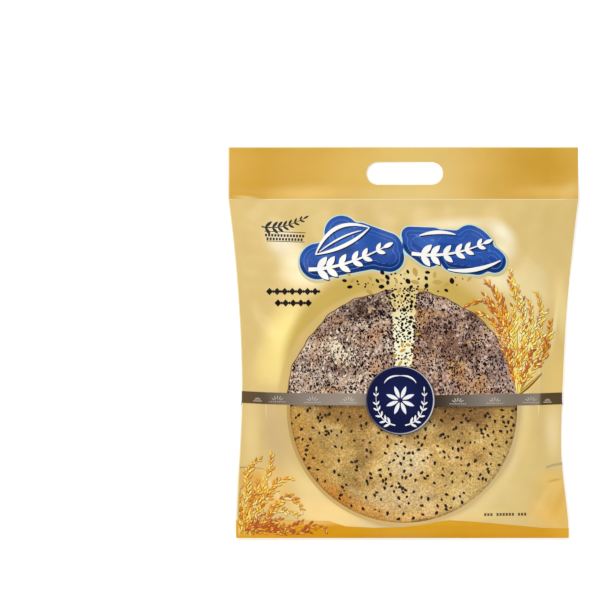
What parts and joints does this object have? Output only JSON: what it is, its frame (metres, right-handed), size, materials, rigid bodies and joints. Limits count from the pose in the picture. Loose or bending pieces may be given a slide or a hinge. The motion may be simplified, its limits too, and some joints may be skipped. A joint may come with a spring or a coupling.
{
  "type": "pack of sesame rice crackers",
  "caption": "Flat film carrier pack of large round black sesame rice crackers on a clear tray, seen through clear windows, lying front up.",
  "frame": {"origin": "on the surface that the pack lies on, under the middle of its outline", "axes": "+Z out of the printed front, +Y along the pack towards the carrying slot, +X to the right as the front is seen"},
  "size_m": [0.3508, 0.3922, 0.0244],
  "materials": {
    "printed_film": "printed film in golds and beige, with a soft gloss",
    "clear_film": "clear unprinted film, glossy",
    "clear_tray": "clear vacuum-formed plastic, glossy",
    "toasted_crust": "baked rice dough, pale gold to brown, with black sesame seeds"
  },
  "bodies": {
    "root": {"pouch": "printed_film", "front_window": "clear_film", "back_window": "clear_film", "tray": "clear_tray", "cracker_front": "toasted_crust", "cracker_back": "toasted_crust"}
  },
  "joints": []
}
